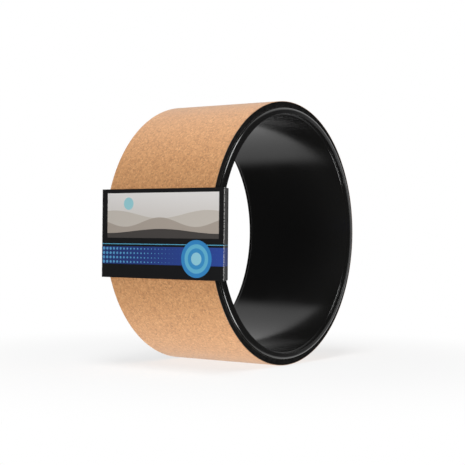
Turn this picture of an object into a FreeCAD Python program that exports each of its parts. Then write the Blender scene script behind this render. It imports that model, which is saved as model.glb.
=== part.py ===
"""Yoga wheel: a moulded ring padded with foam and covered in cork, with a card sales sleeve round its rim.

The wheel's axis is Y and its centre is the origin, so it stands on its tread at the bottom of Z.
The card sleeve hugs the rim on the -X side. All lengths are in millimetres.
"""
import FreeCAD, Part
import math
import os

import Sketcher

SIZES = {
    # The wheel's layers, from the tread inwards
    "tread_diameter": 250.0,
    "cork_thickness": 0.5,
    "cork_edge_bevel": 0.2,
    "bond_thickness": 0.2,
    "foam_thickness": 4.9,
    "ring_wall": 6.9,
    # Across the wheel: the padding, how far the ring stands out of it on average, and how far off the
    # padding's middle the ring lies, towards -Y
    "pad_width": 119.5,
    "ring_proud": 2.5,
    "ring_shift": 1.05,
    # The ring's ends: a rounded rim, a face that falls a little outwards, and a bevelled lead into the bore
    "rim_radius": 2.7,
    "ring_end_fall": 0.3,
    "bore_lead_width": 2.0,
    "bore_lead_depth": 4.1,
    "nose_bevel": 0.5,
    # The strips' ends meet in a butt joint, this many degrees below the +X side
    "seam_gap": 0.4,
    "seam_degrees": 25.0,
    # The folded card sleeve, which leans like a racked box
    "card_thickness": 0.5,
    "fold_radius": 0.5,
    "sleeve_height": 80.5,
    "sleeve_drop": 1.6,
    "sleeve_reach": 10.6,
    "sleeve_lean": 11.4,
    "sleeve_clearance": 0.3,
    # The sleeve's glued lap
    "flap_length": 15.0,
    "lap_edge_gap": 1.5,
    "glue_thickness": 0.1,
    "glue_margin": 2.0,
    # No rounded or bevelled edge takes more than this share of its wall
    "edge_limit_share": 0.8,
}

doc = FreeCAD.newDocument("yoga_wheel")
sheet = doc.addObject("Spreadsheet::Sheet", "Sizes")
for row, (name, size) in enumerate(SIZES.items(), 1):
    sheet.set(f"A{row}", name)
    sheet.set(f"B{row}", str(size))
    sheet.setAlias(f"B{row}", name)
doc.recompute()

# Radii of the layers' faces, and half widths, as expressions on the sheet
TREAD = "(Sizes.tread_diameter / 2)"
CORK_INSIDE = f"({TREAD} - Sizes.cork_thickness)"
FOAM_OUTSIDE = f"({CORK_INSIDE} - Sizes.bond_thickness)"
FOAM_INSIDE = f"({FOAM_OUTSIDE} - Sizes.foam_thickness)"
RING_OUTSIDE = f"({FOAM_INSIDE} - Sizes.bond_thickness)"
BORE = f"({RING_OUTSIDE} - Sizes.ring_wall)"
PAD_HALF = "(Sizes.pad_width / 2)"
RING_HALF = f"({PAD_HALF} + Sizes.ring_proud)"
RING_END = f"({RING_HALF} + Sizes.ring_shift)"
STRIP_TURN = "(360 - 360 * Sizes.seam_gap / (pi * Sizes.tread_diameter))"

# Rounded and bevelled edges, held within their walls
RIM_EDGE = "min(Sizes.rim_radius; Sizes.edge_limit_share * Sizes.ring_wall / 2)"
LEAD_WIDTH = "min(Sizes.bore_lead_width; Sizes.edge_limit_share * Sizes.ring_wall / 2)"
NOSE = f"({BORE} + {LEAD_WIDTH})"
NOSE_EDGE = f"min(Sizes.nose_bevel; Sizes.edge_limit_share * {LEAD_WIDTH} / 2)"
CORK_EDGE = "min(Sizes.cork_edge_bevel; Sizes.edge_limit_share * Sizes.cork_thickness)"

# The sleeve's card, measured from the wheel's axis to the middle of its thickness
HALF_CARD = "(Sizes.card_thickness / 2)"
SLEEVE_HALF = "(Sizes.sleeve_height / 2)"
SLEEVE_REACH = f"({SLEEVE_HALF} + abs(Sizes.sleeve_drop))"
BORE_CHORD = f"sqrt({BORE} ^ 2 - {SLEEVE_REACH} ^ 2)"
FRONT_AWAY = f"({TREAD} + Sizes.sleeve_clearance + {HALF_CARD})"
FLAP_AWAY = f"({BORE_CHORD} - Sizes.sleeve_clearance - {HALF_CARD})"
LAP_STEP = "(Sizes.card_thickness + Sizes.glue_thickness)"
FOLD = f"(Sizes.fold_radius + {HALF_CARD})"
LONG_REACH = f"({RING_END} + Sizes.sleeve_reach)"

# The sleeve leans no further than its side panel can without touching the ring's nose
NOSE_CHORD = f"sqrt({NOSE} ^ 2 - {SLEEVE_REACH} ^ 2)"
NOSE_ROOM = f"(Sizes.sleeve_reach - Sizes.sleeve_clearance - {HALF_CARD})"
LEAN_LIMIT = f"{NOSE_ROOM} * ({FRONT_AWAY} - {FLAP_AWAY}) / ({FRONT_AWAY} - {NOSE_CHORD})"
SHORT_REACH = f"({LONG_REACH} - min(Sizes.sleeve_lean; {LEAN_LIMIT}))"


def length(expression):
    """The expression's value now, for placing geometry before its constraints drive it."""
    return float(sheet.evalExpression(expression))


def new_body(label):
    """An empty body whose label names the sub-part."""
    body = doc.addObject("PartDesign::Body", label)
    body.Label = label
    return body


def new_sketch(body, plane):
    """A sketch on one of the body's own origin planes."""
    sketch = body.newObject("Sketcher::SketchObject", f"{body.Label}_{plane}")
    origin_plane = next(f for f in body.Origin.OriginFeatures if f.Role == plane)
    sketch.AttachmentSupport = [(origin_plane, "")]
    sketch.MapMode = "FlatFace"
    return sketch


def dimension(sketch, kind, *places, size):
    """A driving dimension of the sketch, bound to an expression on the sheet."""
    index = sketch.addConstraint(Sketcher.Constraint(kind, *places, length(size)))
    sketch.setExpression(f"Constraints[{index}]", size)


def section(body, plane, inner, wall, half):
    """A rectangular section on the sketch's -X side, centred on its X axis."""
    sketch = new_sketch(body, plane)
    near, far, reach = -length(inner), -length(f"{inner} + {wall}"), length(half)
    corners = [(near, -reach), (near, reach), (far, reach), (far, -reach)]
    points = [FreeCAD.Vector(x, y, 0) for x, y in corners]
    for side in range(4):
        sketch.addGeometry(Part.LineSegment(points[side], points[(side + 1) % 4]))
    for side in range(4):
        sketch.addConstraint(Sketcher.Constraint("Coincident", side, 2, (side + 1) % 4, 1))
    for upright in (0, 2):
        sketch.addConstraint(Sketcher.Constraint("Symmetric", upright, 1, upright, 2, -1))
    sketch.addConstraint(Sketcher.Constraint("Horizontal", 1))
    dimension(sketch, "DistanceX", 0, 1, -1, 1, size=inner)
    dimension(sketch, "DistanceX", 2, 1, 0, 2, size=wall)
    dimension(sketch, "DistanceY", 0, 1, 0, 2, size=f"2 * {half}")
    return sketch


def revolved(body, sketch, turn):
    """The section turned about the wheel's axis, evenly to both sides of the sketch's plane."""
    solid = body.newObject("PartDesign::Revolution", f"{body.Label}_turned")
    solid.Profile = sketch
    solid.ReferenceAxis = (sketch, ["V_Axis"])
    solid.Midplane = True
    solid.setExpression("Angle", turn)
    doc.recompute()
    return solid


def side_turn(first, second):
    """The angle of the outward normal on the straight side between two bends, each (x, y, radius)."""
    (x1, y1, r1), (x2, y2, r2) = first, second
    apart = math.hypot(x2 - x1, y2 - y1)
    return math.atan2(y2 - y1, x2 - x1) - math.acos((r1 - r2) / apart)


def bent_line(sketch, bends):
    """An open line of straight sides joined by arcs that all turn left, each tangent to the next.

    A bend is (x, y, radius), and the first and last bends are the line's end points, with no radius.
    Sides get even numbers in the sketch, and the arc after each side the odd number that follows.
    """
    sides = list(zip(bends, bends[1:]))
    turns = [side_turn(first, second) for first, second in sides]
    for number, (first, second) in enumerate(sides):
        turn = turns[number]
        start, end = [
            FreeCAD.Vector(x + radius * math.cos(turn), y + radius * math.sin(turn), 0)
            for x, y, radius in (first, second)
        ]
        sketch.addGeometry(Part.LineSegment(start, end))
        if second is not bends[-1]:
            x, y, radius = second
            circle = Part.Circle(FreeCAD.Vector(x, y, 0), FreeCAD.Vector(0, 0, 1), radius)
            swept = (turns[number + 1] - turn) % math.tau
            sketch.addGeometry(Part.ArcOfCircle(circle, turn, turn + swept))
    for joint in range(2 * len(sides) - 2):
        sketch.addConstraint(Sketcher.Constraint("Tangent", joint, 2, joint + 1, 1))


def bevelled(body, radius, bevel):
    """The body's round edges of that radius, bevelled."""
    solid, wanted = body.Tip, length(radius)
    edges = [
        f"Edge{number}"
        for number, edge in enumerate(solid.Shape.Edges, 1)
        if isinstance(edge.Curve, Part.Circle) and math.isclose(edge.Curve.Radius, wanted, rel_tol=1e-6)
    ]
    eased = body.newObject("PartDesign::Chamfer", f"{body.Label}_bevelled")
    eased.Base = (solid, edges)
    eased.setExpression("Size", bevel)
    doc.recompute()


def core_ring():
    """The moulded ring: a tube with rounded rims, whose end faces fall a little outwards and lead into the bore."""
    body = new_body("core_ring")
    sketch = new_sketch(body, "XY_Plane")
    sketch.setExpression("AttachmentOffset.Base.y", "-Sizes.ring_shift")
    bore_rise = f"({RING_HALF} - Sizes.bore_lead_depth)"
    nose_rise = f"({RING_HALF} - {NOSE_EDGE})"
    rim_rise = f"({RING_HALF} - Sizes.ring_end_fall - {RIM_EDGE})"
    bore_x, bore_y = -length(BORE), length(bore_rise)
    nose_x, nose_y = -length(NOSE), length(nose_rise)
    face_x, face_y = -length(f"{NOSE} + {NOSE_EDGE}"), length(RING_HALF)
    rim_x, rim_y, bend = -length(f"{RING_OUTSIDE} - {RIM_EDGE}"), length(rim_rise), length(RIM_EDGE)
    bent_line(sketch, [(face_x, face_y, 0), (rim_x, rim_y, bend), (rim_x, -rim_y, bend), (face_x, -face_y, 0)])
    top, rim_top, rim_wall, rim_foot, foot = range(5)
    half = [(face_x, face_y), (nose_x, nose_y), (bore_x, bore_y)]
    corners = [(x, -y) for x, y in half] + half[::-1]
    points = [FreeCAD.Vector(x, y, 0) for x, y in corners]
    lines = [sketch.addGeometry(Part.LineSegment(start, end)) for start, end in zip(points, points[1:])]
    nose_foot, lead_foot, bore_wall, lead_top, nose_top = lines
    for before, after in zip([foot] + lines, lines + [top]):
        sketch.addConstraint(Sketcher.Constraint("Coincident", before, 2, after, 1))
    for low, high in [(foot, nose_top), (nose_foot, lead_top), (lead_foot, bore_wall), (rim_wall, rim_top)]:
        sketch.addConstraint(Sketcher.Constraint("Symmetric", low, 2, high, 2, -1))
    for edge in (rim_top, rim_foot):
        dimension(sketch, "Radius", edge, size=RIM_EDGE)
    dimension(sketch, "DistanceX", bore_wall, 1, -1, 1, size=BORE)
    dimension(sketch, "DistanceX", rim_wall, 1, bore_wall, 2, size="Sizes.ring_wall")
    dimension(sketch, "DistanceX", lead_top, 2, bore_wall, 2, size=LEAD_WIDTH)
    dimension(sketch, "DistanceX", nose_top, 2, lead_top, 2, size=NOSE_EDGE)
    dimension(sketch, "DistanceY", -1, 1, bore_wall, 2, size=bore_rise)
    dimension(sketch, "DistanceY", -1, 1, lead_top, 2, size=nose_rise)
    dimension(sketch, "DistanceY", -1, 1, nose_top, 2, size=RING_HALF)
    dimension(sketch, "DistanceY", -1, 1, rim_top, 3, size=rim_rise)
    revolved(body, sketch, "360")
    return body


def strip(label, inner, thickness):
    """A strip wrapped round the ring, with its butt joint low on the +X side."""
    body = new_body(label)
    sketch = section(body, "XY_Plane", inner, thickness, PAD_HALF)
    wheel_axis = FreeCAD.Vector(0, 1, 0)
    sketch.AttachmentOffset.Rotation = FreeCAD.Rotation(wheel_axis, length("Sizes.seam_degrees"))
    sketch.setExpression("AttachmentOffset.Rotation.Angle", "Sizes.seam_degrees")
    revolved(body, sketch, STRIP_TURN)
    return body


def cork_cover():
    """The cork sheet, with the tread's two edges eased."""
    body = strip("cork_cover", CORK_INSIDE, "Sizes.cork_thickness")
    bevelled(body, TREAD, CORK_EDGE)
    return body


def fold_line(body):
    """The card's route round the rim in plan, from the lap's free edge to the back panel's free edge.

    Flap, far side, front, near side and back are straight, with an arc at each of the four folds.
    """
    sketch = new_sketch(body, "XY_Plane")
    flap_x, front_x, bend = -length(FLAP_AWAY), -length(FRONT_AWAY), length(FOLD)
    back_x = flap_x + length(LAP_STEP)
    long_y, short_y = length(LONG_REACH), length(SHORT_REACH)
    bends = [
        (flap_x, long_y - length("Sizes.flap_length"), 0),
        (flap_x - bend, long_y, bend),
        (front_x + bend, short_y, bend),
        (front_x + bend, -long_y, bend),
        (back_x - bend, -short_y, bend),
        (back_x, long_y - length("Sizes.lap_edge_gap"), 0),
    ]
    bent_line(sketch, bends)
    flap, far_back, far_front, front, near_front, near_back, back = 0, 1, 3, 4, 5, 7, 8
    for panel in (flap, front, back):
        sketch.addConstraint(Sketcher.Constraint("Vertical", panel))
    for fold in (far_back, far_front, near_front, near_back):
        dimension(sketch, "Radius", fold, size=FOLD)
    dimension(sketch, "DistanceX", flap, 1, -1, 1, size=FLAP_AWAY)
    dimension(sketch, "DistanceX", front, 1, -1, 1, size=FRONT_AWAY)
    dimension(sketch, "DistanceX", flap, 1, back, 2, size=LAP_STEP)
    dimension(sketch, "DistanceY", -1, 1, far_back, 3, size=LONG_REACH)
    dimension(sketch, "DistanceY", -1, 1, far_front, 3, size=SHORT_REACH)
    dimension(sketch, "DistanceY", near_front, 3, -1, 1, size=LONG_REACH)
    dimension(sketch, "DistanceY", near_back, 3, -1, 1, size=SHORT_REACH)
    dimension(sketch, "DistanceY", flap, 1, far_back, 3, size="Sizes.flap_length")
    dimension(sketch, "DistanceY", back, 2, far_back, 3, size="Sizes.lap_edge_gap")
    return sketch


def card_sleeve():
    """The folded card: its cut edge drawn at the lap and swept along the fold line."""
    body = new_body("card_sleeve")
    route = fold_line(body)
    cut_edge = section(body, "XZ_Plane", f"({FLAP_AWAY} - {HALF_CARD})", "Sizes.card_thickness", SLEEVE_HALF)
    cut_edge.setExpression("AttachmentOffset.Base.y", "-Sizes.sleeve_drop")
    cut_edge.setExpression("AttachmentOffset.Base.z", f"Sizes.flap_length - {LONG_REACH}")
    card = body.newObject("PartDesign::AdditivePipe", "card_sleeve_folded")
    card.Profile = cut_edge
    card.Spine = route
    doc.recompute()
    return body


def sleeve_glue():
    """The strip of glue between the flap and the back panel that it closes."""
    glue = doc.addObject("Part::Box", "sleeve_glue")
    glue.Label = "sleeve_glue"
    glue.setExpression("Length", "Sizes.glue_thickness")
    glue.setExpression("Width", "Sizes.flap_length - Sizes.lap_edge_gap - 2 * Sizes.glue_margin")
    glue.setExpression("Height", "Sizes.sleeve_height - 2 * Sizes.glue_margin")
    glue.setExpression("Placement.Base.x", f"{HALF_CARD} - {FLAP_AWAY}")
    glue.setExpression("Placement.Base.y", f"{LONG_REACH} - Sizes.flap_length + Sizes.glue_margin")
    glue.setExpression("Placement.Base.z", f"Sizes.glue_margin - {SLEEVE_HALF} - Sizes.sleeve_drop")
    return glue


nodes = [
    core_ring(),
    strip("ring_bond_film", RING_OUTSIDE, "Sizes.bond_thickness"),
    strip("foam_pad", FOAM_INSIDE, "Sizes.foam_thickness"),
    strip("cork_bond_film", FOAM_OUTSIDE, "Sizes.bond_thickness"),
    cork_cover(),
    card_sleeve(),
    sleeve_glue(),
]
doc.recompute()

for item in doc.Objects:
    if {"Invalid", "Error"} & set(item.State):
        raise RuntimeError(f"{item.Label} failed: {item.State}")
for node in nodes:
    if node.Shape.isNull() or not node.Shape.isValid():
        raise RuntimeError(f"{node.Label} has no sound shape")

os.makedirs("parts", exist_ok=True)
for node in nodes:
    node.Shape.exportStep(f"parts/{node.Label}.step")
    print(f"{node.Label}: {len(node.Shape.Solids)} solid, {node.Shape.Volume:.1f} cubic mm")
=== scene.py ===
import math

import bpy
from mathutils import Matrix, Vector


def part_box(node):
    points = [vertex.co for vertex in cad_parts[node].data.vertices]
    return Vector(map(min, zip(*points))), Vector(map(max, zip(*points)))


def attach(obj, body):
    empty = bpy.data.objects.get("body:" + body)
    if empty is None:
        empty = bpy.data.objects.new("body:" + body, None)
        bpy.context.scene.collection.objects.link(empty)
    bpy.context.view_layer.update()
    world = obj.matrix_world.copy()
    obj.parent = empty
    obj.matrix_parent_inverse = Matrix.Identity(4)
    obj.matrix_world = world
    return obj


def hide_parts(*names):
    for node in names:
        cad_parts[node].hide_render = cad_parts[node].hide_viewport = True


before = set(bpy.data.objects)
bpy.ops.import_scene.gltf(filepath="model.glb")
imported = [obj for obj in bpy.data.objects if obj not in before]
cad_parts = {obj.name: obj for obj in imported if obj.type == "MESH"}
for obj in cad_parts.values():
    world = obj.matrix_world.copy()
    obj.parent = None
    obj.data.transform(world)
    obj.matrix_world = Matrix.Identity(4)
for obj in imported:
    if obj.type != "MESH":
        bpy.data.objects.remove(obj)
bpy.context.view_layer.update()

# The ring that carries the load: one black gloss plastic moulding. It is turned from its section, a tube
# with rounded rims and a shallow step where each end meets the bore, and its ends stand proud of the
# padding round it.
ring_low, ring_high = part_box("core_ring")
ring_radius = ring_high.x
ring_wall = 0.0069
ring_bore = ring_radius - ring_wall
ring_end_fall = 0.0003
bore_step_width = 0.001
bore_step_depth = 0.0032
step_wall = ring_bore + bore_step_width
step_low = ring_low.y + bore_step_depth
step_high = ring_high.y - bore_step_depth
rim_radius = 0.0027
nose_radius = 0.0002
shoulder_radius = 0.00095
edge_steps = 8
turn_steps = 240
hair = 1e-5  # nearer than this counts as the same place
weld = 1e-6  # vertices nearer than this become one


def layer_section(name, outside, wall, low, high):
    """The section of one layer of the wheel: a flat rectangle on the +X side of its axis."""
    bpy.ops.object.select_all(action="DESELECT")
    bpy.ops.mesh.primitive_plane_add(size=1, location=(outside - wall / 2, (low + high) / 2, 0))
    piece = bpy.context.object
    piece.name = name
    piece.scale = (wall, high - low, 1)
    bpy.ops.object.transform_apply()
    return piece


def score(axis, *places):
    """Cuts the flat piece in hand along lines square to an axis, so that it can be trimmed or bent there."""
    bpy.ops.object.mode_set(mode="EDIT")
    for place in places:
        bpy.ops.mesh.select_all(action="SELECT")
        bpy.ops.mesh.bisect(plane_co=Vector(axis) * place, plane_no=axis)
    bpy.ops.object.mode_set(mode="OBJECT")


def pick(piece, wanted):
    """Leaves the piece in edit mode with just its wanted vertices selected."""
    bpy.ops.object.mode_set(mode="EDIT")
    bpy.ops.mesh.select_mode(type="VERT")
    bpy.ops.mesh.select_all(action="DESELECT")
    bpy.ops.object.mode_set(mode="OBJECT")
    for vertex in piece.data.vertices:
        vertex.select = wanted(vertex)
    bpy.ops.object.mode_set(mode="EDIT")


def sink_ends(piece, wanted, depth):
    """Moves the wanted vertices at both ends of the section inwards along the wheel's axis."""
    for end in (-1, 1):
        pick(piece, lambda v: wanted(v) and v.co.y * end > 0)
        bpy.ops.transform.translate(value=(0, -end * depth, 0))
        bpy.ops.object.mode_set(mode="OBJECT")


def ease_corners(piece, wanted, radius):
    """Rounds the section's wanted corners."""
    pick(piece, wanted)
    bpy.ops.mesh.bevel(offset=radius, segments=edge_steps, affect="VERTICES")
    bpy.ops.object.mode_set(mode="OBJECT")


def turn_section(piece, seam_angle):
    """Turns the section about the wheel's axis, all the way round or up to a butt joint on the +X side."""
    bpy.ops.object.mode_set(mode="EDIT")
    bpy.ops.mesh.select_all(action="SELECT")
    if not seam_angle:
        bpy.ops.mesh.delete(type="ONLY_FACE")
        bpy.ops.mesh.select_all(action="SELECT")
    bpy.ops.mesh.spin(steps=turn_steps, angle=math.tau - seam_angle, center=(0, 0, 0), axis=(0, 1, 0))
    bpy.ops.mesh.select_all(action="SELECT")
    bpy.ops.mesh.remove_doubles(threshold=weld)
    bpy.ops.mesh.normals_make_consistent(inside=False)
    bpy.ops.object.mode_set(mode="OBJECT")
    bpy.ops.object.shade_smooth()
    bpy.ops.object.modifier_add(type="WEIGHTED_NORMAL")
    bpy.ops.object.modifier_apply(modifier=piece.modifiers[-1].name)


gloss_ring = layer_section("gloss_ring", ring_radius, ring_wall, ring_low.y, ring_high.y)
score((1, 0, 0), step_wall)
score((0, 1, 0), step_low, step_high)
for low, high in ((ring_low.y, step_low), (step_high, ring_high.y)):
    pick(gloss_ring, lambda v: v.co.x < step_wall + hair and low - hair < v.co.y < high + hair)
    bpy.ops.mesh.delete(type="FACE")
    bpy.ops.object.mode_set(mode="OBJECT")
bpy.ops.object.mode_set(mode="EDIT")
bpy.ops.mesh.select_all(action="SELECT")
bpy.ops.mesh.dissolve_limited()
bpy.ops.object.mode_set(mode="OBJECT")
sink_ends(gloss_ring, lambda v: v.co.x > ring_radius - hair, ring_end_fall)
ease_corners(gloss_ring, lambda v: v.co.x > ring_radius - hair, rim_radius)
ease_corners(gloss_ring, lambda v: abs(v.co.x - step_wall) < hair, nose_radius)
ease_corners(gloss_ring, lambda v: v.co.x < ring_bore + hair, shoulder_radius)
turn_section(gloss_ring, 0)


def new_material(name):
    """An empty node material, the tree that its nodes go in, and its shader."""
    material = bpy.data.materials.new(name)
    material.use_nodes = True
    return material, material.node_tree, material.node_tree.nodes["Principled BSDF"]


def put(tree, kind, links=None, **values):
    """A node with some inputs set to plain values or linked to other nodes' outputs."""
    node = tree.nodes.new(kind)
    for name, value in values.items():
        setattr(node, name, value)
    for name, value in (links or {}).items():
        if isinstance(value, bpy.types.NodeSocket):
            tree.links.new(value, node.inputs[name])
        else:
            node.inputs[name].default_value = value
    return node


def noise(tree, place, scale, detail):
    """Soft random clouds, finer with a larger scale; their level."""
    look = {"Vector": place, "Scale": scale, "Detail": detail}
    return put(tree, "ShaderNodeTexNoise", look).outputs["Fac"]


def ramp(tree, factor, *stops):
    """A colour ramp through (position, colour) stops; its colour output."""
    node = put(tree, "ShaderNodeValToRGB", {"Fac": factor})
    band = node.color_ramp.elements
    while len(band) < len(stops):
        band.new(0.5)
    for element, (position, colour) in zip(band, stops):
        element.position = position
        element.color = (*colour, 1)
    return node.outputs["Color"]


ring_plastic, tree, shader = new_material("ring_plastic")
place = put(tree, "ShaderNodeTexCoord").outputs["Object"]
haze = noise(tree, place, scale=22, detail=4)
skin = noise(tree, place, scale=900, detail=2)
gloss = put(
    tree, "ShaderNodeMapRange",
    {"Value": haze, "From Min": 0.3, "From Max": 0.7, "To Min": 0.13, "To Max": 0.2},
)
tone = ramp(tree, haze, (0.0, (0.007, 0.0069, 0.0066)), (1.0, (0.01, 0.0098, 0.0095)))
peel = put(tree, "ShaderNodeBump", {"Height": skin, "Strength": 0.04, "Distance": 0.0002})
tree.links.new(tone, shader.inputs["Base Color"])
tree.links.new(gloss.outputs["Result"], shader.inputs["Roughness"])
tree.links.new(peel.outputs["Normal"], shader.inputs["Normal"])
gloss_ring.data.materials.append(ring_plastic)
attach(gloss_ring, "wheel")
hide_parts("core_ring")

# The film that holds the foam on the ring: clear double-sided adhesive on a thin carrier, laid once round
# with its ends meeting at the same butt joint as the padding's.
pad_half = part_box("foam_pad")[1].y
seam_gap = 0.0004
seam_angle = seam_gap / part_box("cork_cover")[1].x
seam_below = math.radians(25)
film_thickness = 0.0002

bond_film, tree, shader = new_material("bond_film")
place = put(tree, "ShaderNodeTexCoord").outputs["Object"]
smear = noise(tree, place, scale=160, detail=3)
tone = ramp(tree, smear, (0.0, (0.03, 0.028, 0.025)), (1.0, (0.075, 0.07, 0.06)))
tree.links.new(tone, shader.inputs["Base Color"])
shader.inputs["Roughness"].default_value = 0.45


def set_seam(strip):
    """Turns a strip about the wheel's axis until its butt joint is low on the +X side."""
    strip.rotation_euler.y = seam_below + seam_angle / 2
    bpy.ops.object.transform_apply()


def lay_film(name, node):
    """A bond film round the wheel, in the place of the CAD one."""
    film = layer_section(name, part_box(node)[1].x, film_thickness, -pad_half, pad_half)
    turn_section(film, seam_angle)
    set_seam(film)
    film.data.materials.append(bond_film)
    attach(film, "wheel")
    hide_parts(node)


lay_film("ring_film", "ring_bond_film")

# The padding: a strip of black closed-cell foam, cut square and wrapped once round the ring. The knife
# leaves its two long edges dull, a little hollow and full of cut-open cells.
foam_thickness = 0.0049
foam_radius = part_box("foam_pad")[1].x
foam_middle = foam_radius - foam_thickness / 2
foam_edge_hollow = 0.00025
foam_corner_radius = 0.0003
foam_band = layer_section("foam_band", foam_radius, foam_thickness, -pad_half, pad_half)
score((1, 0, 0), foam_middle)
sink_ends(foam_band, lambda v: abs(v.co.x - foam_middle) < hair, foam_edge_hollow)
ease_corners(foam_band, lambda v: abs(v.co.y) > pad_half - hair, foam_corner_radius)
turn_section(foam_band, seam_angle)
set_seam(foam_band)

pad_foam, tree, shader = new_material("pad_foam")
place = put(tree, "ShaderNodeTexCoord").outputs["Object"]
cells = put(tree, "ShaderNodeTexVoronoi", {"Vector": place, "Scale": 2600}).outputs["Distance"]
dust = noise(tree, place, scale=240, detail=5)
tone = ramp(tree, dust, (0.35, (0.018, 0.018, 0.018)), (0.75, (0.035, 0.034, 0.033)))
pits = put(tree, "ShaderNodeBump", {"Height": cells, "Strength": 0.5, "Distance": 0.0003})
tree.links.new(tone, shader.inputs["Base Color"])
tree.links.new(pits.outputs["Normal"], shader.inputs["Normal"])
shader.inputs["Roughness"].default_value = 0.9
shader.inputs["Specular IOR Level"].default_value = 0
foam_band.data.materials.append(pad_foam)
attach(foam_band, "wheel")
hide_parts("foam_pad")

# The film that holds the cork on the foam: the same clear adhesive as on the ring, laid once round with its
# ends at the same butt joint.
lay_film("cork_film", "cork_bond_film")

# The tread: a thin sheet of pressed and sanded cork granules, wrapped once round the foam, with its two
# long edges eased and its ends meeting in a butt joint.
cork_thickness = 0.0005
cork_edge_radius = 0.0002
cork_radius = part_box("cork_cover")[1].x
cork_tread = layer_section("cork_tread", cork_radius, cork_thickness, -pad_half, pad_half)
ease_corners(cork_tread, lambda v: v.co.x > cork_radius - cork_thickness / 2, cork_edge_radius)
turn_section(cork_tread, seam_angle)
set_seam(cork_tread)

# The granules have wandering outlines and dark joints, with some coarser chips and pale clouds among them
granule_scale, chip_scale = 680, 420
chip_share = 0.25
tread_cork, tree, shader = new_material("tread_cork")
place = put(tree, "ShaderNodeTexCoord").outputs["Object"]
stray = put(tree, "ShaderNodeTexNoise", {"Vector": place, "Scale": 700, "Detail": 2}).outputs["Color"]
drift = put(tree, "ShaderNodeVectorMath", {0: stray, 1: (0.5, 0.5, 0.5)}, operation="SUBTRACT").outputs[0]
drift = put(tree, "ShaderNodeVectorMath", {0: drift, "Scale": 0.0009}, operation="SCALE").outputs[0]
bent = put(tree, "ShaderNodeVectorMath", {0: place, 1: drift}, operation="ADD").outputs[0]
granules = put(tree, "ShaderNodeTexVoronoi", {"Vector": bent, "Scale": granule_scale})
chips = put(tree, "ShaderNodeTexVoronoi", {"Vector": bent, "Scale": chip_scale})
seams = put(
    tree, "ShaderNodeTexVoronoi", {"Vector": bent, "Scale": granule_scale}, feature="DISTANCE_TO_EDGE",
).outputs["Distance"]
patches = noise(tree, place, scale=55, detail=3)


def mixed(tree, factor, first, second):
    """Two colours mixed by a factor; the result."""
    node = put(tree, "ShaderNodeMix", data_type="RGBA")
    for name, value in (("Factor", factor), ("A", first), ("B", second)):
        socket = next(s for s in node.inputs if s.name == name and s.enabled)
        if isinstance(value, bpy.types.NodeSocket):
            tree.links.new(value, socket)
        else:
            socket.default_value = value if name == "Factor" else (*value, 1)
    return next(s for s in node.outputs if s.enabled)


fine = put(tree, "ShaderNodeSeparateColor", {"Color": granules.outputs["Color"]}).outputs["Red"]
coarse = put(tree, "ShaderNodeSeparateColor", {"Color": chips.outputs["Color"]}).outputs["Red"]
grain = ramp(
    tree, fine,
    (0.0, (0.42, 0.18, 0.054)), (0.12, (0.54, 0.239, 0.078)), (0.4, (0.655, 0.307, 0.109)),
    (0.75, (0.735, 0.364, 0.138)), (1.0, (0.86, 0.475, 0.2)),
)
chip = ramp(
    tree, coarse,
    (0.0, (0.5, 0.215, 0.068)), (0.1, (0.605, 0.278, 0.098)),
    (0.55, (0.705, 0.336, 0.124)), (1.0, (0.83, 0.427, 0.172)),
)
body_colour = mixed(tree, chip_share, grain, chip)
cloud_share = ramp(tree, patches, (0.35, (0, 0, 0)), (0.7, (0.2, 0.2, 0.2)))
clouded = mixed(tree, cloud_share, body_colour, (0.76, 0.374, 0.142))
joints = ramp(tree, seams, (0.0, (0.3, 0.3, 0.3)), (0.12, (0, 0, 0)))
cork_colour = mixed(tree, joints, clouded, (0.45, 0.195, 0.066))
relief = put(tree, "ShaderNodeBump", {"Height": seams, "Strength": 0.2, "Distance": 0.0003})
tree.links.new(cork_colour, shader.inputs["Base Color"])
tree.links.new(relief.outputs["Normal"], shader.inputs["Normal"])
shader.inputs["Roughness"].default_value = 0.5
shader.inputs["Specular IOR Level"].default_value = 1
shader.inputs["Sheen Weight"].default_value = 0.5
shader.inputs["Sheen Roughness"].default_value = 0.4
cork_tread.data.materials.append(tread_cork)
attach(cork_tread, "wheel")
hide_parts("cork_cover")

# The sales sleeve: one strip of coated card, printed flat, creased in four places and folded round the
# rim. A flap at its first end is glued under the back panel. It is a little too wide for the wheel, so it
# leans like a racked box.
sleeve_low, sleeve_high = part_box("card_sleeve")
card = 0.0005
glue_thickness = 0.0001
fold_radius = 0.00075
crease_steps = 6
flap_length = 0.015
lap_edge_gap = 0.0015
sleeve_lean = 0.0114
sharp_angle = math.radians(30)
front_x = sleeve_low.x + card / 2
back_x = sleeve_high.x - card / 2
flap_x = back_x - (card + glue_thickness)
long_y = sleeve_high.y - card / 2 - fold_radius
short_y = long_y - sleeve_lean

# The folds' centres in plan, from the flap's crease round to the back panel's, and the straight runs between
fold_centres = [
    Vector((flap_x - fold_radius, long_y)),
    Vector((front_x + fold_radius, short_y)),
    Vector((front_x + fold_radius, -long_y)),
    Vector((back_x - fold_radius, -short_y)),
]
sides = [second - first for first, second in zip(fold_centres, fold_centres[1:])]
headings = [math.pi / 2] + [math.atan2(side.y, side.x) for side in sides] + [math.pi / 2]
runs = [flap_length] + [side.length for side in sides] + [long_y - lap_edge_gap + short_y]
turns = [(after - before) % math.tau for before, after in zip(headings, headings[1:])]
chords = [2 * fold_radius * math.sin(turn / crease_steps / 2) for turn in turns]

# Where each crease starts along the flat strip
crease_starts = []
sheet_length = 0
for run, chord in zip(runs, chords):
    sheet_length += run
    crease_starts.append(sheet_length)
    sheet_length += chord * crease_steps
sheet_length += runs[-1]
sheet_height = sleeve_high.z - sleeve_low.z
strip_start = long_y - flap_length

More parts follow.
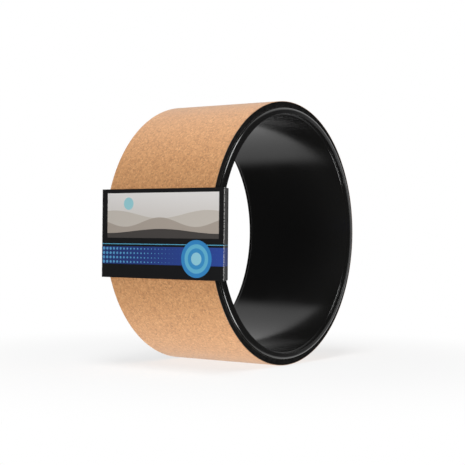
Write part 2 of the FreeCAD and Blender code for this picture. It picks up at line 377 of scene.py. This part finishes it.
bpy.ops.object.select_all(action="DESELECT")
bpy.ops.mesh.primitive_plane_add(
    size=1,
    location=(flap_x, strip_start + sheet_length / 2, (sleeve_low.z + sleeve_high.z) / 2),
    rotation=(math.pi / 2, 0, math.pi / 2),
)
sales_sleeve = bpy.context.object
sales_sleeve.name = "sales_sleeve"
sales_sleeve.scale = (sheet_length, sheet_height, 1)
bpy.ops.object.transform_apply()

# Each crease is a row of small bends, of which the first and the last turn half as far as the others
bends = []
for start, chord, turn in zip(crease_starts, chords, turns):
    for step in range(crease_steps + 1):
        share = 0.5 if step in (0, crease_steps) else 1
        bends.append((start + step * chord, share * turn / crease_steps))
score((0, 1, 0), *(strip_start + along for along, _ in bends))
flat_places = [vertex.co.y - strip_start for vertex in sales_sleeve.data.vertices]
for along, turn in bends:
    on_bend = (v for v in sales_sleeve.data.vertices if abs(flat_places[v.index] - along) < hair)
    hinge = next(on_bend).co.copy()
    pick(sales_sleeve, lambda v: flat_places[v.index] > along + hair)
    bpy.ops.transform.rotate(value=-turn, orient_axis="Z", center_override=hinge)
    bpy.ops.object.mode_set(mode="OBJECT")

printed_card, tree, shader = new_material("printed_card")
raw_card, raw_tree, raw_shader = new_material("raw_card")
cut_card, cut_tree, cut_shader = new_material("cut_card")
for material in (printed_card, raw_card, cut_card):
    sales_sleeve.data.materials.append(material)
bpy.ops.object.modifier_add(type="SOLIDIFY")
wall = sales_sleeve.modifiers[-1]
wall.thickness = card
wall.offset = 0
wall.use_even_offset = True
wall.material_offset = 1
wall.material_offset_rim = 2
bpy.ops.object.modifier_apply(modifier=wall.name)
bpy.ops.object.shade_smooth_by_angle(angle=sharp_angle)

# The print: a pale panel of dunes over a blue band with dots and ripples, all on a black ground
flat = put(tree, "ShaderNodeTexCoord").outputs["UV"]
sheet_size = (sheet_length, sheet_height, 0)
sheet = put(tree, "ShaderNodeVectorMath", {0: flat, 1: sheet_size}, operation="MULTIPLY").outputs[0]
along, up, _ = put(tree, "ShaderNodeSeparateXYZ", {0: sheet}).outputs
front_start = crease_starts[1] + crease_steps * chords[1]
front_width = runs[2]


def calc(tree, operation, *values):
    """A Math node on sockets or plain numbers; its result."""
    return put(tree, "ShaderNodeMath", dict(enumerate(values)), operation=operation).outputs[0]


def between(tree, value, low, high):
    """1 where the value lies between the limits, 0 elsewhere."""
    above = calc(tree, "GREATER_THAN", value, low)
    return calc(tree, "MULTIPLY", above, calc(tree, "LESS_THAN", value, high))


def length(tree, sideways, upward):
    """How far a place is from a centre, from its two offsets."""
    squares = [calc(tree, "POWER", offset, 2) for offset in (sideways, upward)]
    return calc(tree, "SQRT", calc(tree, "ADD", *squares))


def disc(tree, across, up, centre, radius):
    """1 inside a round spot of the print, 0 outside it."""
    sideways = calc(tree, "SUBTRACT", across, centre[0])
    upward = calc(tree, "SUBTRACT", up, centre[1])
    return calc(tree, "LESS_THAN", length(tree, sideways, upward), radius)


across = calc(tree, "SUBTRACT", along, front_start)
ink = (0.006, 0.006, 0.007)
band_low, band_high = 0.0125, 0.0285
band_share = put(tree, "ShaderNodeMapRange", {"Value": across, "From Max": front_width}).outputs["Result"]
band_colour = ramp(tree, band_share, (0.0, (0.014, 0.035, 0.17)), (1.0, (0.023, 0.068, 0.36)))
in_band = between(tree, up, band_low, band_high)
printed = mixed(tree, in_band, ink, band_colour)
hairline_low, hairline_high = 0.0304, 0.031
printed = mixed(tree, between(tree, up, hairline_low, hairline_high), printed, (0.115, 0.485, 0.716))

# Dots that shrink from left to right along the band
dot_pitch = 0.004
dot_x = calc(tree, "SUBTRACT", calc(tree, "FRACT", calc(tree, "DIVIDE", across, dot_pitch)), 0.5)
dot_rise = calc(tree, "DIVIDE", calc(tree, "SUBTRACT", up, band_low), dot_pitch)
dot_y = calc(tree, "SUBTRACT", calc(tree, "FRACT", dot_rise), 0.5)
dot_limits = {"Value": band_share, "From Max": 0.66, "To Min": 0.36, "To Max": 0.02}
dot_radius = put(tree, "ShaderNodeMapRange", dot_limits).outputs["Result"]
dots = calc(tree, "LESS_THAN", length(tree, dot_x, dot_y), dot_radius)
on_band = calc(tree, "MULTIPLY", in_band, between(tree, across, 0, front_width))
printed = mixed(tree, calc(tree, "MULTIPLY", dots, on_band), printed, (0.1, 0.36, 0.66))

# Ripples at the band's right end, each with its radius and colour
ripple_centre = (0.108, 0.0185)
ripples = (
    (0.0165, (0.032, 0.262, 0.61)),
    (0.0128, (0.13, 0.49, 0.71)),
    (0.0092, (0.04, 0.3, 0.63)),
    (0.0056, (0.3, 0.66, 0.8)),
)
for radius, colour in ripples:
    printed = mixed(tree, disc(tree, across, up, ripple_centre, radius), printed, colour)

# The pale panel: sky, a small sun and three ranges of dunes, each with its height, swell, waves per metre,
# phase and colour
panel_low, panel_high = 0.0362, 0.0768
panel_left, panel_right = 0.006, front_width - 0.0045
sun_centre, sun_radius = (0.031, 0.0672), 0.0056
sky_share = put(tree, "ShaderNodeMapRange", {"Value": up, "From Min": panel_low, "From Max": panel_high})
panel = ramp(tree, sky_share.outputs["Result"], (0.35, (0.7, 0.66, 0.62)), (1.0, (0.85, 0.83, 0.815)))
panel = mixed(tree, disc(tree, across, up, sun_centre, sun_radius), panel, (0.34, 0.68, 0.74))
dunes = (
    (0.0575, 0.0036, 9.5, 0.7, (0.62, 0.57, 0.51)),
    (0.0505, 0.0042, 12.5, 2.6, (0.45, 0.39, 0.335)),
    (0.0425, 0.002, 8.0, 4.4, (0.07, 0.062, 0.058)),
)
for height, swell, waves, phase, colour in dunes:
    wave = calc(tree, "SINE", calc(tree, "MULTIPLY_ADD", across, math.tau * waves, phase))
    ridge = calc(tree, "MULTIPLY_ADD", wave, swell, height)
    panel = mixed(tree, calc(tree, "LESS_THAN", up, ridge), panel, colour)
in_panel = between(tree, up, panel_low, panel_high)
on_panel = calc(tree, "MULTIPLY", in_panel, between(tree, across, panel_left, panel_right))
printed = mixed(tree, on_panel, printed, panel)

# Pale broken lines along each crease: a painted crease highlight, and ink cracked to the white coating
crack_and_highlight_reach = 0.00035
crack_and_highlight_from = 0.47
crack_and_highlight_share = 0.75
scuffs = noise(tree, sheet, scale=900, detail=3)
for start, chord in zip(crease_starts, chords):
    middle = start + crease_steps * chord / 2
    off_middle = calc(tree, "ABSOLUTE", calc(tree, "SUBTRACT", along, middle))
    crease = calc(tree, "LESS_THAN", off_middle, crack_and_highlight_reach)
    crack_and_highlight_mask = calc(tree, "MULTIPLY", crease, calc(tree, "GREATER_THAN", scuffs, crack_and_highlight_from))
    # Mixes in the pale colour of the painted crease highlight and the cracked ink
    printed = mixed(tree, calc(tree, "MULTIPLY", crack_and_highlight_mask, crack_and_highlight_share), printed, (0.6, 0.59, 0.58))
coat = noise(tree, sheet, scale=120, detail=4)
satin = put(tree, "ShaderNodeMapRange", {"Value": coat, "To Min": 0.42, "To Max": 0.56}).outputs["Result"]
fibres = put(tree, "ShaderNodeBump", {"Height": scuffs, "Strength": 0.05, "Distance": 0.0001})
tree.links.new(printed, shader.inputs["Base Color"])
tree.links.new(satin, shader.inputs["Roughness"])
tree.links.new(fibres.outputs["Normal"], shader.inputs["Normal"])

# The inside is bare grey board, and the cut edges show its pale pulp
for bare_tree, bare_shader, dark, light in (
    (raw_tree, raw_shader, (0.4, 0.37, 0.33), (0.6, 0.57, 0.52)),
    (cut_tree, cut_shader, (0.55, 0.53, 0.49), (0.78, 0.76, 0.72)),
):
    place = put(bare_tree, "ShaderNodeTexCoord").outputs["Object"]
    pulp = noise(bare_tree, place, scale=1400, detail=5)
    bare_tree.links.new(ramp(bare_tree, pulp, (0.35, dark), (0.65, light)), bare_shader.inputs["Base Color"])
    bare_shader.inputs["Roughness"].default_value = 0.9
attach(sales_sleeve, "sleeve")
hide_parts("card_sleeve")

# The glue that closes the sleeve's lap: one bead of clear glue, run along the flap and pressed flat under
# the back panel, where it dries to a thin strip. It keeps its solid and gets a material.
lap_glue, tree, shader = new_material("lap_glue")
place = put(tree, "ShaderNodeTexCoord").outputs["Object"]
cloud = noise(tree, place, scale=300, detail=3)
tone = ramp(tree, cloud, (0.3, (0.6, 0.56, 0.44)), (0.7, (0.8, 0.78, 0.7)))
tree.links.new(tone, shader.inputs["Base Color"])
shader.inputs["Roughness"].default_value = 0.4
glue_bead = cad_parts["sleeve_glue"]
glue_bead.data.materials.clear()
glue_bead.data.materials.append(lap_glue)

# The camera: a long lens level with the wheel's centre, looking at the sleeve's side and one open end.
view_distance = 1.1549
view_turn = math.radians(-54.96)
view_rise = math.radians(-0.19)
view_roll = math.radians(0.556)
aim_right, aim_up = -0.00366, 0.00044
aim = Matrix.Rotation(view_turn, 4, "Z") @ Matrix.Rotation(math.pi / 2 - view_rise, 4, "X")
aim = aim @ Matrix.Rotation(view_roll, 4, "Z")
bpy.ops.object.camera_add()
camera = bpy.context.object
camera.matrix_world = aim @ Matrix.Translation((aim_right, aim_up, view_distance))
camera.data.sensor_width = 36
camera.data.lens = 91.38
bpy.context.scene.camera = camera

# The studio: a clear table over a white ground in a white room, lit by one soft box from above and one from
# below. Only the camera sees the table's top. Gloss black shows a room that is white behind the wheel, above
# and below it, and dark in front, where black card stands round the camera.
floor_size = 40

# Near the wheel the table's top is partly matt and takes the shadow, and further out it only glows
near, far = 0.15, 0.42
near_glow = 0.75
bpy.ops.object.select_all(action="DESELECT")
bpy.ops.mesh.primitive_plane_add(size=floor_size, location=(0, 0, -cork_radius))
floor = bpy.context.object
floor.name = "studio_floor"
floor_paint, tree, shader = new_material("floor_paint")
tree.nodes.remove(shader)
place = put(tree, "ShaderNodeTexCoord").outputs["Object"]
away = put(tree, "ShaderNodeVectorMath", {0: place}, operation="LENGTH").outputs["Value"]


def smooth_step(tree, value, low, high, first, second):
    """A value that goes smoothly from the first level to the second between two limits."""
    limits = {"Value": value, "From Min": low, "From Max": high, "To Min": first, "To Max": second}
    return put(tree, "ShaderNodeMapRange", limits, interpolation_type="SMOOTHSTEP").outputs["Result"]


glow_share = smooth_step(tree, away, near, far, near_glow, 1)
matt = put(tree, "ShaderNodeBsdfDiffuse", {"Color": (0.9, 0.9, 0.9, 1)})
glow = put(tree, "ShaderNodeEmission", {"Color": (1, 1, 1, 1), "Strength": 1})
paint = put(tree, "ShaderNodeMixShader", {0: glow_share, 1: matt.outputs[0], 2: glow.outputs[0]})
clear = put(tree, "ShaderNodeBsdfTransparent")
rays = put(tree, "ShaderNodeLightPath").outputs
top = put(
    tree, "ShaderNodeMixShader", {0: rays["Is Camera Ray"], 1: clear.outputs[0], 2: paint.outputs[0]},
)
tree.links.new(top.outputs[0], tree.nodes["Material Output"].inputs["Surface"])
floor.data.materials.append(floor_paint)

# The room's level is what it lights with. Gloss mirrors the dark card or the white by which way it looks.
steep_share = 0.45
white_from, white_to = 0.46, 0.64
card_level, white_level = 0.06, 1
room_level = 0.28
world = bpy.data.worlds.new("white_room")
bpy.context.scene.world = world
world.use_nodes = True
tree = world.node_tree
way = put(tree, "ShaderNodeTexCoord").outputs["Generated"]
behind = (-math.sin(view_turn), math.cos(view_turn), 0)
facing = put(tree, "ShaderNodeVectorMath", {0: way, 1: behind}, operation="DOT_PRODUCT").outputs["Value"]
steepness = calc(tree, "ABSOLUTE", put(tree, "ShaderNodeSeparateXYZ", {0: way}).outputs["Z"])
whiteness = calc(tree, "MULTIPLY_ADD", steepness, steep_share, facing)
mirrored = smooth_step(tree, whiteness, white_from, white_to, card_level, white_level)
rays = put(tree, "ShaderNodeLightPath").outputs
seen = calc(tree, "MAXIMUM", rays["Is Camera Ray"], rays["Is Transmission Ray"])
strength = put(tree, "ShaderNodeMix", {0: rays["Is Glossy Ray"], 2: room_level, 3: mirrored}).outputs[0]
strength = calc(tree, "MAXIMUM", strength, seen)
backdrop = tree.nodes["Background"]
backdrop.inputs["Color"].default_value = (1, 1, 1, 1)
tree.links.new(strength, backdrop.inputs["Strength"])

# The soft boxes are long ones that face the wheel's centre
box_left, box_near, box_height = -0.55, -0.3, 1.25
box_width, box_length = 0.45, 0.85
box_power = 15.3
for name, side in (("top_box", 1), ("under_box", -1)):
    box_place = Vector((box_left, box_near, side * box_height))
    bpy.ops.object.light_add(type="AREA", location=box_place)
    soft_box = bpy.context.object
    soft_box.name = name
    soft_box.data.shape = "RECTANGLE"
    soft_box.data.size = box_width
    soft_box.data.size_y = box_length
    soft_box.data.energy = box_power
    soft_box.rotation_euler = box_place.to_track_quat("Z", "Y").to_euler()

bpy.context.scene.view_settings.view_transform = "Standard"
